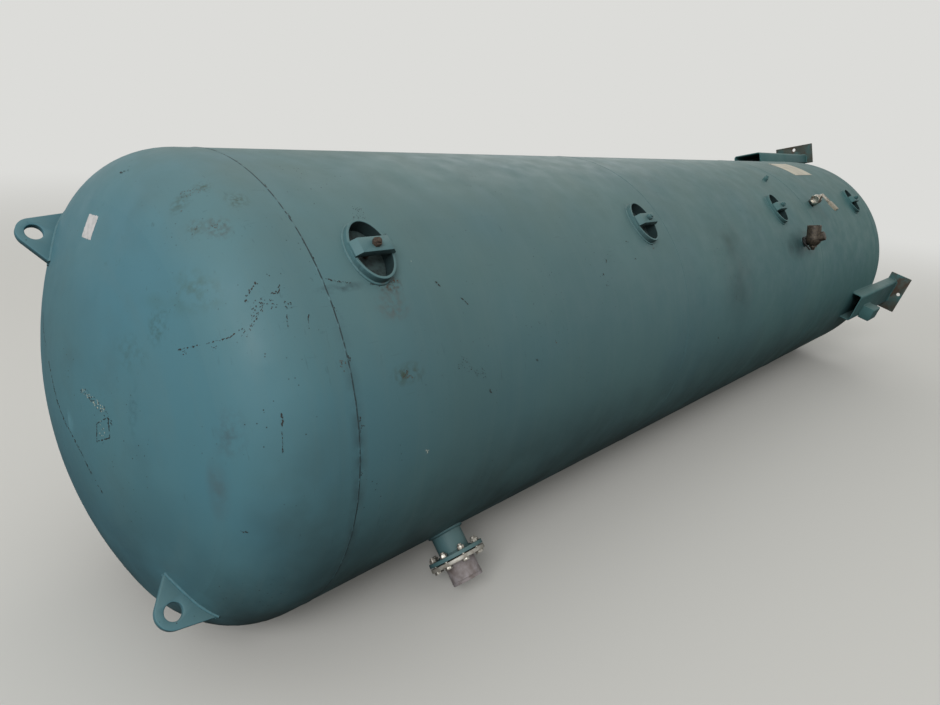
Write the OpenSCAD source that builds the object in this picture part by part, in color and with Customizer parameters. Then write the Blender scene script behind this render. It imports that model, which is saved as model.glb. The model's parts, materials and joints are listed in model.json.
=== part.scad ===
// Upright compressed air receiver laid on its side.
// The vessel axis runs along X. The lug end is at low X and the leg end at high X.
// Angles round the vessel are counted from the top towards low Y.
// The floor is at Z = 0: the shell and the lowest foot plate rest on it.

/* [Shell] */
// Outside radius of the shell and of both dished ends
shell_r = 750; // [600:10:900]
// Distance between the tangent lines of the two dished ends
tangent_length = 5060; // [4800:10:5600]
// Wall of the rolled shell plates
shell_t = 8; // [6:1:12]
// Width of the first and second shell plates, measured along the axis
course_w = 1846; // [1700:2:1880]

/* [Dished ends] */
// Wall of the dished ends
head_t = 10; // [8:1:14]
// Crown radius of the dished ends
crown_r = 1350; // [1250:10:1500]
// Knuckle radius of the dished ends
knuckle_r = 262; // [200:2:300]
// Straight flange of the dished ends, up to the weld
head_flange = 64; // [40:2:90]

/* [Legs] */
// Width of the folded channel
leg_w = 200; // [140:5:240]
// Plate thickness of the folded channel
leg_t = 8; // [5:1:12]
// Outside bend radius of the channel
leg_bend_r = 18; // [14:1:30]
// Distance from the vessel axis to the outside of the channel's web, past the shell radius
leg_stand_off = 65; // [50:1:100]
// Length of leg that overlaps the shell, from the far tangent line
leg_overlap = 491; // [350:5:650]
// Distance from the far tangent line to the sole of the feet
feet_past_tangent = 552; // [480:2:700]
// Width of a foot plate
foot_w = 295; // [250:5:360]
// How far a foot plate starts inside the shell radius
foot_inset = 10; // [0:1:40]
// How far a foot plate reaches past the shell radius
foot_reach = 148; // [120:2:200]
// Thickness of a foot plate
foot_t = 15; // [10:1:25]
// Diameter of the holding down hole
foot_hole_d = 28; // [18:1:36]
// Distance from the holding down hole to the outer edge of the foot plate
foot_hole_edge = 30; // [24:1:40]

/* [Leg bracket] */
// Length of the bracket along the leg
bracket_l = 172; // [100:2:220]
// Width of the bracket across the leg
bracket_w = 94; // [60:2:110]
// Height of the bracket off the leg's web
bracket_h = 80; // [50:2:90]
// Plate thickness of the bracket
bracket_t = 6; // [4:1:10]
// Distance from the leg's middle line to the bracket's near side
bracket_side = 4; // [0:1:6]
// Distance from the leg's open end to the bracket
bracket_from_end = 218; // [150:2:400]

/* [Lifting lugs] */
// Thickness of a lifting lug
lug_t = 20; // [12:1:30]
// Radius of the lug's round tip
lug_tip_r = 50; // [44:1:70]
// Diameter of the shackle hole
lug_hole_d = 52; // [36:1:60]
// Distance of the shackle hole inside the shell radius
lug_hole_in = 142; // [130:2:160]
// Height of the shackle hole over the dished end beside it
lug_hole_lift = 61; // [56:1:70]
// Distance of the weld's inner end inside the shell radius
lug_foot_in = 250; // [230:5:300]
// Distance of the weld's outer end inside the shell radius
lug_foot_out = 78; // [60:2:90]
// Angle of the first lug from the hand hole line; the second is opposite
lug_turn = 93; // [80:1:100]

/* [Hand holes] */
// Angle of the hand hole line from the top
hand_hole_at = 45; // [40:0.5:47]
// Distance of the first hand hole from the near tangent line
hand_hole_1_past = 246; // [200:2:300]
// Distance of the second hand hole before the first seam between plates
hand_hole_2_back = 187; // [120:1:260]
// Distance of the third hand hole before the second seam between plates
hand_hole_3_back = 489; // [400:1:560]
// Distance of the fourth hand hole before the far tangent line
hand_hole_4_back = 335; // [250:1:400]
// Half length of the clear opening, round the vessel
opening_a = 89; // [75:1:95]
// Half width of the clear opening, along the vessel
opening_b = 62; // [50:1:70]
// Wall of the oval ring
ring_wall = 8; // [6:1:12]
// Height of the ring outside the shell
ring_out = 20; // [16:1:40]
// Depth of the ring inside the shell radius
ring_in = 26; // [22:1:40]
// Thickness of the cover's flange
cover_t = 14; // [8:1:20]
// Width of the cover's flange past the ring
cover_lap = 4; // [2:1:8]
// Height of the cover's boss inside the opening
cover_boss_h = 4; // [2:1:20]
// Clearance of the boss in the opening
cover_gap = 2; // [1:0.5:4]
// Thickness of the cover's gasket
cover_gasket_t = 3; // [2:0.5:5]
// Width of the bridge
bridge_w = 46; // [36:1:60]
// Thickness of the bridge
bridge_t = 24; // [18:1:30]
// Chamfer at the bridge's ends
bridge_chamfer = 17; // [8:1:17]
// Diameter of the cover's stud
stud_d = 16; // [12:1:20]
// Length of thread that shows past a nut
thread_end = 7; // [3:1:15]
// Thickness of the nuts
nut_t = 13; // [10:1:16]
// Width of the nuts and bolt heads across their flats
nut_across = 24; // [22:1:30]
// Thickness of the bolt heads
bolt_head_t = 10; // [8:1:14]

/* [Outlet] */
// Distance of the outlet from the near tangent line
outlet_x = 654; // [600:1:900]
// Angle of the outlet from the hand hole line
outlet_turn = 90; // [80:0.5:92]
// Outside diameter of the outlet pipe
outlet_d = 114.3; // [100:0.1:125]
// Wall of the outlet pipe
outlet_wall = 6; // [4:0.5:8]
// Diameter of the two flanges
flange_d = 210; // [206:1:230]
// Thickness of each flange
flange_t = 14; // [12:1:22]
// Distance of the fixed flange's back from the shell radius
flange_out = 82; // [70:1:100]
// Thickness of the flange gasket
flange_gasket_t = 4; // [2:0.5:5]
// Bolt circle of the flanges
flange_pcd = 175; // [168:1:178]
// Number of flange bolts
flange_bolts = 8; // [4:4:12]
// Diameter of a flange bolt
flange_bolt_d = 16; // [12:1:16]
// Clearance of the flange bolts in their holes
flange_bolt_gap = 3; // [1:0.5:4]
// Distance of the stub's sawn end from the shell radius
stub_reach = 189; // [140:1:200]

/* [Small fittings] */
// Distance of the instrument socket before the second seam between plates
socket_back = 244; // [200:1:300]
// Angle of the instrument socket from the top
socket_at = 26.9; // [20:0.1:30]
// Outside diameter of the instrument socket
socket_d = 28; // [22:1:34]
// Height of the instrument socket
socket_h = 22; // [14:1:30]
// Width of its plug across the flats
socket_plug_w = 17; // [12:1:20]
// Height of its plug
socket_plug_h = 11; // [8:1:16]
// Outside diameter of the drain socket in the far end
drain_d = 60; // [50:1:80]
// Height of the drain socket
drain_h = 35; // [25:1:60]
// Width of the drain plug across the flats
drain_plug_w = 30; // [24:1:40]
// Height of the drain plug
drain_plug_h = 20; // [12:1:26]

/* [Side valve] */
// Distance of the brown valve before the second seam between plates
side_valve_back = 289; // [250:1:330]
// Angle of the brown valve from the top
side_valve_at = 62.1; // [58:0.1:68]
// Distance of the brown valve's middle from the shell
side_valve_out = 58; // [54:1:70]
// Radius of the brown valve's round body
side_valve_r = 44; // [40:1:48]
// Diameter of the nipple under the brown valve
side_nipple_d = 34; // [28:1:40]
// Width across the flats of the hexagon welded on the shell
side_socket_w = 48; // [44:1:50]
// Height of that hexagon
side_socket_h = 22; // [16:1:23]
// Height of the nipple's end over the shell
side_nipple_h = 28; // [25:1:34]
// Outside radius of the open port
side_port_r = 39; // [34:1:40]
// Distance of the open port's rim from the valve's middle
side_port_h = 78; // [70:1:90]
// Wall of the open port
side_port_wall = 7; // [4:1:10]
// Lean of the open port away from the shell
side_port_lean = 19; // [10:1:27]
// Width across the flats of the outer boss
side_boss_w = 46; // [40:1:54]
// Distance of the outer boss's end from the valve's middle
side_boss_l = 64; // [56:1:70]
// Distance of the bonnet's joint from the valve's middle
bonnet_back = 38; // [36:1:40]
// Height of the bonnet
bonnet_h = 27; // [20:1:34]
// Radius of the bonnet at its joint
bonnet_r = 22; // [18:1:23]
// Radius of the bonnet's tip
bonnet_tip_r = 8; // [6:1:12]
// Length of the brown valve's thin lever
side_lever_l = 62; // [50:1:80]
// Width of that lever
side_lever_w = 9; // [6:1:12]
// Slope of that lever away from the shell
side_lever_slope = 22; // [10:1:30]

/* [Gauge valve] */
// Distance of the bright valve past the second seam between plates
gauge_valve_past = 139; // [110:1:180]
// Angle of the bright valve from the top
gauge_valve_at = 43.9; // [40:0.1:48]
// Distance of the bright valve's middle from the shell
gauge_valve_out = 46; // [46:1:60]
// Radius of the bright valve's round body
gauge_valve_r = 30; // [26:1:31]
// Height of the bright valve's nipple
gauge_nipple_h = 12; // [11:1:14]
// Diameter of the bright valve's nipple
gauge_nipple_d = 34; // [28:1:38]
// Width across the flats of the bright valve's ends
gauge_hex_w = 50; // [46:1:56]
// Distance of the open end from the bright valve's middle
gauge_port_l = 46; // [38:1:54]
// Radius of the bright valve's port
gauge_port_r = 20; // [16:1:22]
// Depth of the bright valve's open end
gauge_port_deep = 24; // [16:1:34]
// Height of the stem's boss over the round body
stem_boss_h = 4; // [2:1:10]
// Length of the bright valve's lever
lever_l = 126; // [100:1:160]
// Width of the lever
lever_w = 24; // [20:1:28]
// Height of the lever's turned up edges
lever_edge = 13; // [8:1:16]
// Thickness of the lever's sheet
lever_t = 3; // [2:0.5:4]
// Rise of the lever away from the shell
lever_rise = 8; // [4:1:14]
// Length of the sleeve on the lever's end
grip_l = 62; // [40:1:80]
// Wall of that sleeve
grip_t = 3; // [2:0.5:5]

/* [Hidden] */
$fn = 96;
// Gap at a welded or seated joint
seat = 0.2;
// Overshoot of a cutting shape
past = 5;
// Reach of a cutting shape through the shell, to each side
shell_cut = 4 * shell_t + past;
near_weld_x = head_flange;
far_weld_x = tangent_length - head_flange;
seam_1_x = near_weld_x + course_w;
seam_2_x = seam_1_x + course_w;
bore_r = shell_r - shell_t;
hand_hole_x = [hand_hole_1_past, seam_1_x - hand_hole_2_back, seam_2_x - hand_hole_3_back,
               tangent_length - hand_hole_4_back];
socket_x = seam_2_x - socket_back;
side_valve_x = seam_2_x - side_valve_back;
gauge_valve_x = seam_2_x + gauge_valve_past;

// Depth of the dished end over its tangent line
crown_to_knuckle = crown_r - knuckle_r;
crown_drop = sqrt(pow(crown_to_knuckle, 2) - pow(shell_r - knuckle_r, 2));
dish_depth = crown_r - crown_drop;

// The web of a leg, its foot and its sole
web_r = shell_r + leg_stand_off;
foot_in_r = shell_r - foot_inset;
foot_out_r = shell_r + foot_reach;
foot_hole_r = foot_out_r - foot_hole_edge;
feet_x = tangent_length + feet_past_tangent;
leg_start_x = tangent_length - leg_overlap;

// The vessel has rolled until the lowest corner of the third foot is level with the shell's bottom
foot_corner_r = norm([foot_out_r, foot_w / 2]);
leg_3_at = 180 + atan2(foot_w / 2, foot_out_r) + acos(shell_r / foot_corner_r);
legs = 3;
leg_at = [for (i = [legs - 1 : -1 : 0]) leg_3_at - i * 360 / legs];
lugs = 2;
lug_at = [for (i = [0 : lugs - 1]) hand_hole_at + lug_turn - i * 360 / lugs];
outlet_at = hand_hole_at + outlet_turn;
flange_face = flange_out + flange_t;
loose_back = flange_face + flange_gasket_t;
loose_face = loose_back + flange_t;
outlet_bore_r = outlet_d / 2 - outlet_wall;
outlet_start = -2 * shell_t;

// Planes of the hand hole parts over the shell: the cover's back and the bridge's top
cover_back = -ring_in - cover_gasket_t - cover_t;
bridge_top = ring_out + bridge_t;
bridge_half = opening_b + ring_wall;

// Middle of the part's box along X and Y, with the floor at zero
low_x = -dish_depth;
low_y = -(foot_out_r * sin(leg_at[1]) + foot_w / 2 * abs(cos(leg_at[1])));
mid_x = (low_x + feet_x) / 2;
mid_y = (low_y + shell_r) / 2;

// Moves the vessel from its own axis to the middle of its box, with the floor at zero
module place() translate([-mid_x, -mid_y, shell_r]) children();

// Local frame at an angle on the vessel's axis: Z points outwards
module at_angle(x, angle) translate([x, 0, 0]) rotate([angle, 0, 0]) children();

// Local frame on the shell's surface
module at_shell(x, angle) at_angle(x, angle) translate([0, 0, shell_r]) children();

// The whole shell as a solid bar, seen from a local frame on the vessel's axis
module shell_bar(r) rotate([0, 90, 0])
    cylinder(h = 4 * tangent_length, r = r, center = true, $fn = 360);

// Half outline of a dished end: straight flange, knuckle arc and crown arc
module dish_outline(r, crown, knuckle, flange) {
    k = [r - knuckle, 0];
    drop = sqrt(pow(crown - knuckle, 2) - pow(k[0], 2));
    join_x = k[0] * crown / (crown - knuckle);
    translate([0, -flange]) square([r, flange]);
    intersection() {
        translate([0, -drop]) circle(crown);
        square([join_x, crown]);
    }
    intersection() {
        translate(k) circle(knuckle);
        translate([join_x, 0]) square([r - join_x, knuckle]);
    }
}

// A dished end standing on its flange, dome upwards
module dished_end() rotate_extrude($fn = 180) difference() {
    dish_outline(shell_r, crown_r, knuckle_r, head_flange);
    dish_outline(shell_r - head_t, crown_r - head_t, knuckle_r - head_t, head_flange + past);
}

module near_head() color("cadetblue") place() rotate([0, -90, 0]) dished_end();

module far_head() color("cadetblue") place() translate([tangent_length, 0, 0])
    rotate([0, 90, 0]) difference() {
        dished_end();
        cylinder(h = 2 * dish_depth, d = drain_bore_d);
    }

// Oval with its long way along Y; grow moves the outline outwards all round
module oval(grow = 0) scale([opening_b + grow, opening_a + grow]) circle(r = 1, $fn = 180);

// A rolled shell plate from one weld to the next, cut for the hand holes and the outlet
module shell_course(from_x, to_x) color("cadetblue") place() difference() {
    translate([from_x, 0, 0]) rotate([0, 90, 0]) difference() {
        cylinder(h = to_x - from_x, r = shell_r, $fn = 180);
        translate([0, 0, -past]) cylinder(h = to_x - from_x + 2 * past, r = bore_r, $fn = 180);
    }
    for (x = hand_hole_x) if (x > from_x && x < to_x)
        at_shell(x, hand_hole_at) linear_extrude(2 * shell_cut, center = true)
            oval(ring_wall + seat);
    if (outlet_x > from_x && outlet_x < to_x)
        at_shell(outlet_x, outlet_at)
            cylinder(h = 2 * shell_cut, d = outlet_d + 2 * seat, center = true);
}

// Point on a circle where a line from point p touches it; side is 1 or -1
function touch(p, c, r, side) =
    let (v = p - c, l = norm(v), turn = side * acos(r / l), a = atan2(v[1], v[0]) + turn)
    c + r * [cos(a), sin(a)];

// Height of the dished end's outside over its tangent line at a distance from the axis
function dish_height(r) =
    r > (shell_r - knuckle_r) * crown_r / crown_to_knuckle
        ? sqrt(pow(knuckle_r, 2) - pow(r - (shell_r - knuckle_r), 2))
        : sqrt(pow(crown_r, 2) - pow(r, 2)) - crown_drop;

// Lug outline: X is the distance from the axis, Y the height over the tangent line
module lug_outline() {
    hole_r = shell_r - lug_hole_in;
    low_r = shell_r - lug_foot_in;
    high_r = shell_r - lug_foot_out;
    c = [hole_r, dish_height(hole_r) + lug_hole_lift];
    low = [low_r, dish_height(low_r)];
    high = [high_r, dish_height(high_r)];
    difference() {
        union() {
            translate(c) circle(lug_tip_r);
            polygon([c, touch(low, c, lug_tip_r, -1), low, [low[0], high[1]], high,
                     touch(high, c, lug_tip_r, 1)]);
        }
        translate(c) circle(d = lug_hole_d);
        dish_outline(shell_r + seat, crown_r + seat, knuckle_r + seat, past);
    }
}

module lifting_lug(angle) color("cadetblue") place() at_angle(0, angle)
    rotate([0, -90, 0]) rotate([90, 0, 0]) linear_extrude(lug_t, center = true) lug_outline();

// Channel outline over the shell: the web is outside, the flange tips point at the axis
module channel_outline(w, top, r) {
    translate([-w / 2, 0]) square([w, top - r]);
    translate([r - w / 2, 0]) square([w - 2 * r, top]);
    for (s = [-1, 1]) translate([s * (w / 2 - r), top - r]) circle(r);
}

module leg(angle) color("cadetblue") place() at_angle(0, angle) difference() {
    translate([leg_start_x, 0, 0]) rotate([90, 0, 90])
        linear_extrude(feet_x - foot_t - leg_start_x) difference() {
            channel_outline(leg_w, web_r, leg_bend_r);
            channel_outline(leg_w - 2 * leg_t, web_r - leg_t, leg_bend_r - leg_t);
            square([leg_w + past, 2 * (shell_r - leg_w / 2)], center = true);
        }
    shell_bar(shell_r + seat);
}

module foot_plate(angle) color("cadetblue") place() at_angle(feet_x - foot_t, angle)
    rotate([90, 0, 90]) linear_extrude(foot_t) difference() {
        translate([-foot_w / 2, foot_in_r]) square([foot_w, foot_out_r - foot_in_r]);
        translate([0, foot_hole_r]) circle(d = foot_hole_d);
    }

// Short folded bracket with closed ends, welded on the second leg's web
module leg_bracket() color("darkkhaki") place() at_angle(0, leg_at[1])
    translate([leg_start_x + bracket_from_end, -bracket_side - bracket_w / 2, web_r + seat])
        rotate([90, 0, 90]) difference() {
            linear_extrude(bracket_l) channel_outline(bracket_w, bracket_h, 2 * bracket_t);
            translate([0, -past, bracket_t]) linear_extrude(bracket_l - 2 * bracket_t)
                channel_outline(bracket_w - 2 * bracket_t, bracket_h - bracket_t + past, bracket_t);
        }

module hand_hole_ring(i) color("cadetblue") place() at_shell(hand_hole_x[i], hand_hole_at)
    translate([0, 0, -ring_in]) linear_extrude(ring_in + ring_out) difference() {
        oval(ring_wall);
        oval();
    }

// Inner oval cover: a flange behind the ring and a boss inside the opening
module hand_hole_cover(i) color("darkslategray") place() at_shell(hand_hole_x[i], hand_hole_at)
    translate([0, 0, cover_back]) {
        linear_extrude(cover_t) oval(ring_wall + cover_lap);
        linear_extrude(cover_t + cover_gasket_t + cover_boss_h) oval(-cover_gap);
    }

module hand_hole_gaskets() color("black") place() for (x = hand_hole_x)
    at_shell(x, hand_hole_at) translate([0, 0, -ring_in - cover_gasket_t])
        linear_extrude(cover_gasket_t) difference() {
            oval(ring_wall);
            oval(-cover_gap / 2);
        }

// Solid bar across the ring, with long chamfers at both ends
module hand_hole_bridge(i) color("cadetblue") place() at_shell(hand_hole_x[i], hand_hole_at)
    difference() {
        rotate([90, 0, 0]) linear_extrude(bridge_w, center = true)
            polygon([[-bridge_half, ring_out], [-bridge_half, bridge_top - bridge_chamfer],
                     [bridge_chamfer - bridge_half, bridge_top],
                     [bridge_half - bridge_chamfer, bridge_top],
                     [bridge_half, bridge_top - bridge_chamfer], [bridge_half, ring_out]]);
        cylinder(h = 2 * bridge_top, d = stud_d + 2 * seat);
    }

// Stud of the cover with its nut on the bridge
module hand_hole_stud(i) color("saddlebrown") place() at_shell(hand_hole_x[i], hand_hole_at) {
    translate([0, 0, cover_boss_h - ring_in])
        cylinder(h = bridge_top + nut_t + thread_end + ring_in - cover_boss_h, d = stud_d);
    translate([0, 0, bridge_top]) cylinder(h = nut_t, d = nut_across / cos(30), $fn = 6);
}

// Local frame of the outlet, with Z outwards along its pipe
module at_outlet() place() at_shell(outlet_x, outlet_at) children();

module outlet_neck() color("cadetblue") at_outlet() difference() {
    translate([0, 0, outlet_start]) cylinder(h = flange_face - outlet_start, d = outlet_d);
    translate([0, 0, outlet_start - past])
        cylinder(h = flange_face - outlet_start + 2 * past, r = outlet_bore_r);
}

module bolt_places() for (i = [0 : flange_bolts - 1])
    rotate((i + 0.5) * 360 / flange_bolts) translate([flange_pcd / 2, 0, 0]) children();

module flange_disc(inner_d) difference() {
    cylinder(h = flange_t, d = flange_d);
    translate([0, 0, -past]) cylinder(h = flange_t + 2 * past, d = inner_d);
    bolt_places() translate([0, 0, -past])
        cylinder(h = flange_t + 2 * past, d = flange_bolt_d + flange_bolt_gap);
}

module outlet_flange() color("cadetblue") at_outlet() translate([0, 0, flange_out])
    flange_disc(outlet_d + 2 * seat);

module outlet_gasket() color("black") at_outlet() translate([0, 0, flange_face]) difference() {
    cylinder(h = flange_gasket_t, d = flange_pcd - flange_bolt_d - 2 * flange_bolt_gap);
    translate([0, 0, -past]) cylinder(h = flange_gasket_t + 2 * past, r = outlet_bore_r);
}

module outlet_loose_flange() color("silver") at_outlet() translate([0, 0, loose_back])
    flange_disc(outlet_d + 2 * seat);

module outlet_stub() color("rosybrown") at_outlet() difference() {
    translate([0, 0, loose_back])
        cylinder(h = stub_reach - loose_back, d = outlet_d);
    translate([0, 0, loose_back - past]) cylinder(h = stub_reach, r = outlet_bore_r);
}

// Hexagon bolts: heads on the loose flange, nuts and thread ends on the fixed one
module outlet_bolts() color("dimgray") at_outlet() bolt_places() {
    translate([0, 0, loose_face])
        cylinder(h = bolt_head_t, d = nut_across / cos(30), $fn = 6);
    translate([0, 0, flange_out - nut_t - thread_end])
        cylinder(h = loose_face - flange_out + nut_t + thread_end, d = flange_bolt_d);
    translate([0, 0, flange_out - nut_t])
        cylinder(h = nut_t, d = nut_across / cos(30), $fn = 6);
}

// Short screwed socket welded on the shell, closed by a hexagon plug
module instrument_socket() color("cadetblue") place() at_angle(socket_x, socket_at) difference() {
    translate([0, 0, shell_r - past]) {
        cylinder(h = socket_h + past, d = socket_d);
        cylinder(h = socket_h + socket_plug_h + past, d = socket_plug_w / cos(30), $fn = 6);
    }
    shell_bar(shell_r + seat);
}

// Drain socket in the middle of the far end, set through its wall and closed by a plug
drain_bore_d = drain_d + 2 * seat;
drain_start = 2 * head_t;
module drain_socket() color("cadetblue") place()
    translate([tangent_length + dish_depth - drain_start, 0, 0]) rotate([0, 90, 0]) {
        cylinder(h = drain_start + drain_h, d = drain_d);
        cylinder(h = drain_start + drain_h + drain_plug_h, d = drain_plug_w / cos(30), $fn = 6);
    }

// Brown angle valve. Its frame stands on the shell, and the second one in the valve's middle,
// with Y along the open port, which points upwards and leans away from the shell.
module at_side_valve() place() at_shell(side_valve_x, side_valve_at) children();
module at_side_middle() at_side_valve() translate([0, 0, side_valve_out])
    rotate([side_port_lean, 0, 0]) children();

// Hexagon with its flats towards both ends of the vessel
module hexagon(h, across) rotate(30) cylinder(h = h, d = across / cos(30), $fn = 6);

module side_valve_nipple() color("dimgray") place() at_angle(side_valve_x, side_valve_at)
    difference() {
        translate([0, 0, shell_r - past]) {
            hexagon(side_socket_h + past, side_socket_w);
            cylinder(h = side_nipple_h + past, d = side_nipple_d);
        }
        shell_bar(shell_r + seat);
    }

module side_valve_body() color("sienna") difference() {
    union() {
        at_side_middle() {
            sphere(side_valve_r);
            rotate([-90, 0, 0]) cylinder(h = side_port_h, r = side_port_r);
        }
        at_side_valve() translate([0, 0, side_valve_out]) hexagon(side_boss_l, side_boss_w);
    }
    at_side_middle() {
        translate([0, side_valve_r - side_port_wall, 0]) rotate([-90, 0, 0])
            cylinder(h = side_port_h, r = side_port_r - side_port_wall);
        translate([0, -bonnet_back, 0]) rotate([90, 0, 0])
            cylinder(h = side_valve_r, r = side_valve_r);
    }
    at_side_valve() translate([0, 0, side_nipple_h + seat - side_port_h])
        cylinder(h = side_port_h, r = side_port_h);
}

module side_valve_bonnet() color("sienna") at_side_middle()
    translate([0, -bonnet_back - seat, 0]) rotate([90, 0, 0]) {
        cylinder(h = bonnet_h / 3, d = 2 * bonnet_r, $fn = 6);
        cylinder(h = bonnet_h, r1 = bonnet_r * cos(30), r2 = bonnet_tip_r);
    }

// Thin lever beside the hexagon on the shell, on a pin that meets its flat
side_pin_l = 14;
side_pin_up = side_socket_h / 2;
module side_valve_lever() color("black") at_side_valve()
    translate([-side_socket_w / 2 - seat, 0, side_pin_up]) rotate([0, -90, 0]) {
        cylinder(h = side_pin_l, d = side_lever_w - 2);
        translate([0, 0, side_pin_l - lever_t]) rotate(side_lever_slope) linear_extrude(lever_t) {
            circle(d = side_lever_w + 2);
            translate([-side_lever_w / 2, -side_lever_l]) square([side_lever_w, side_lever_l]);
        }
    }

// Bright angle ball valve: nipple out of the shell, open end towards the lug end, stem outwards
module at_gauge_valve() place() at_shell(gauge_valve_x, gauge_valve_at) children();
gauge_socket_h = 8;
gauge_socket_d = gauge_nipple_d + 14;
stem_boss_r = 12;
stem_nut_w = 17;

module gauge_valve_nipple() color("gray") place() at_angle(gauge_valve_x, gauge_valve_at)
    difference() {
        translate([0, 0, shell_r - past]) {
            cylinder(h = gauge_socket_h + past, d = gauge_socket_d);
            cylinder(h = gauge_nipple_h + past, d = gauge_nipple_d);
        }
        shell_bar(shell_r + seat);
    }

module gauge_valve_body() color("lightgray") at_gauge_valve()
    translate([0, 0, gauge_valve_out]) difference() {
        union() {
            sphere(gauge_valve_r);
            rotate([180, 0, 0]) hexagon(gauge_valve_out - gauge_nipple_h - seat, gauge_hex_w);
            rotate([0, -90, 0]) hexagon(gauge_port_l, gauge_hex_w);
            cylinder(h = gauge_valve_r + stem_boss_h, r = stem_boss_r);
        }
        translate([-gauge_port_l - past, 0, 0]) rotate([0, 90, 0])
            cylinder(h = gauge_port_deep + past, r = gauge_port_r);
    }

// Lever of folded sheet with turned up edges and a sleeve on its end
module lever_outline(w, h, t) difference() {
    translate([-w / 2, 0]) square([w, h]);
    translate([t - w / 2, t]) square([w - 2 * t, h]);
}

module gauge_valve_lever() color("gainsboro") at_gauge_valve()
    translate([0, 0, gauge_valve_out + gauge_valve_r + stem_boss_h + seat]) {
        cylinder(h = lever_t, d = lever_w + 2);
        cylinder(h = lever_edge, d = stem_nut_w / cos(30), $fn = 6);
        rotate([-lever_rise, 0, 0]) rotate([90, 0, 0]) {
            linear_extrude(lever_l) lever_outline(lever_w, lever_edge, lever_t);
            translate([-lever_w / 2 - grip_t, -grip_t, lever_l - grip_l])
                cube([lever_w + 2 * grip_t, lever_edge + 2 * grip_t, grip_l + grip_t]);
        }
    }

near_head();
far_head();
shell_course(near_weld_x, seam_1_x);  // shell_course_1
shell_course(seam_1_x, seam_2_x);  // shell_course_2
shell_course(seam_2_x, far_weld_x);  // shell_course_3
for (i = [0, 1]) lifting_lug(lug_at[i]);
for (i = [0 : 2]) leg(leg_at[i]);
for (i = [0 : 2]) foot_plate(leg_at[i]);
leg_bracket();
for (i = [0 : 3]) hand_hole_ring(i);
for (i = [0 : 3]) hand_hole_cover(i);
for (i = [0 : 3]) hand_hole_bridge(i);
for (i = [0 : 3]) hand_hole_stud(i);
hand_hole_gaskets();
outlet_neck();
outlet_flange();
outlet_gasket();
outlet_loose_flange();
outlet_stub();
outlet_bolts();
instrument_socket();
drain_socket();
side_valve_nipple();
side_valve_body();
side_valve_bonnet();
side_valve_lever();
gauge_valve_nipple();
gauge_valve_body();
gauge_valve_lever();
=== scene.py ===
"""Looks of an upright compressed air receiver that lies on its side.

Everything is in metres. A place on the vessel is given as along (from the near tangent line),
out (from the vessel's axis) and turn (degrees from the top towards low Y).
"""

import json
import math
import random
from contextlib import contextmanager

import bpy
from mathutils import Matrix, Vector


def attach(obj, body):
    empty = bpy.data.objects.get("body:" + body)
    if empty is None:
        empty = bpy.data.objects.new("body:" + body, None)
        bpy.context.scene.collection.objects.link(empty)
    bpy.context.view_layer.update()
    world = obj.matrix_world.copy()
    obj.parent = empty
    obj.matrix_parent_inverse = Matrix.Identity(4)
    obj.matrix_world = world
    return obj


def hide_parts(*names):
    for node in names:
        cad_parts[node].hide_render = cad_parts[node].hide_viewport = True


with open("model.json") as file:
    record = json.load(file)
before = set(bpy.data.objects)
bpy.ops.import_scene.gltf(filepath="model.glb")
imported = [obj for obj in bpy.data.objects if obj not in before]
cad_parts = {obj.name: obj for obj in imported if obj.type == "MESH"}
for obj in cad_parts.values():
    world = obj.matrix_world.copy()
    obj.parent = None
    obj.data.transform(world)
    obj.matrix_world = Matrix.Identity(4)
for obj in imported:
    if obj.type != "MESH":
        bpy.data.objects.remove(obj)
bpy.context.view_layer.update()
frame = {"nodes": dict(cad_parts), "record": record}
nodes = frame["nodes"]
chance = random.Random(7)

# The vessel's own sizes, as in the part's source. The middle is that of the part's box.
SHELL_R = 0.750
MIDDLE_X, MIDDLE_Y = 2.61721, -0.078615
KNUCKLE_R = 0.262
CROWN_R = 1.350
CROWN_DROP = math.sqrt((CROWN_R - KNUCKLE_R) ** 2 - (SHELL_R - KNUCKLE_R) ** 2)
GIRTH_WELDS = (0.064, 1.910, 3.756, 4.996)
FAR_TANGENT = 5.060

# Hand holes in one line, each with an oval ring (half its size round the vessel and along it)
HAND_HOLE_TURN = 45.0
HAND_HOLES = (0.246, 1.723, 3.267, 4.725)
RING_A, RING_B = 0.097, 0.070
STUD_R, STUD_TIP = 0.008, 0.064
# how far from the middle of a hand hole the painted shade on its walls reaches
HOLE_SHADE_REACH = 0.12

# Legs: half the channel's width, the edge of its flanges, the outside of its web, and its bend
LEG_TURNS = (-16.174, 103.826, 223.826)
LEG_HALF, LEG_LIP, LEG_WEB, LEG_BEND = 0.100, 0.745, 0.815, 0.018
LEG_START, LEG_END = 4.569, 5.597
BRACKET_START, BRACKET_END = 4.787, 4.959
BRACKET_IN, BRACKET_BEND = -0.003, -0.080

# Lifting lugs: half their thickness, and how far out they start and end on the near end
LUG_TURNS = (138.0, -42.0)
LUG_HALF, LUG_IN, LUG_OUT = 0.010, 0.500, 0.672

# Side outlet: its parts' distances are from the shell
OUTLET_X, OUTLET_TURN, OUTLET_R = 0.654, 135.0, 0.05715
FLANGE_BACK, STUB_END, BOLT_TIP = 0.082, 0.189, 0.062
BOLT_CIRCLE_R, BOLTS = 0.0875, 8

# Fittings: place on the shell, and radius where they meet it
SIDE_VALVE, SIDE_NIPPLE_R = (3.467, 62.1), 0.028
GAUGE_VALVE, GAUGE_NIPPLE_R = (3.895, 43.9), 0.025
SOCKET, SOCKET_R = (3.512, 26.9), 0.015
DRAIN_R = 0.030

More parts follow.
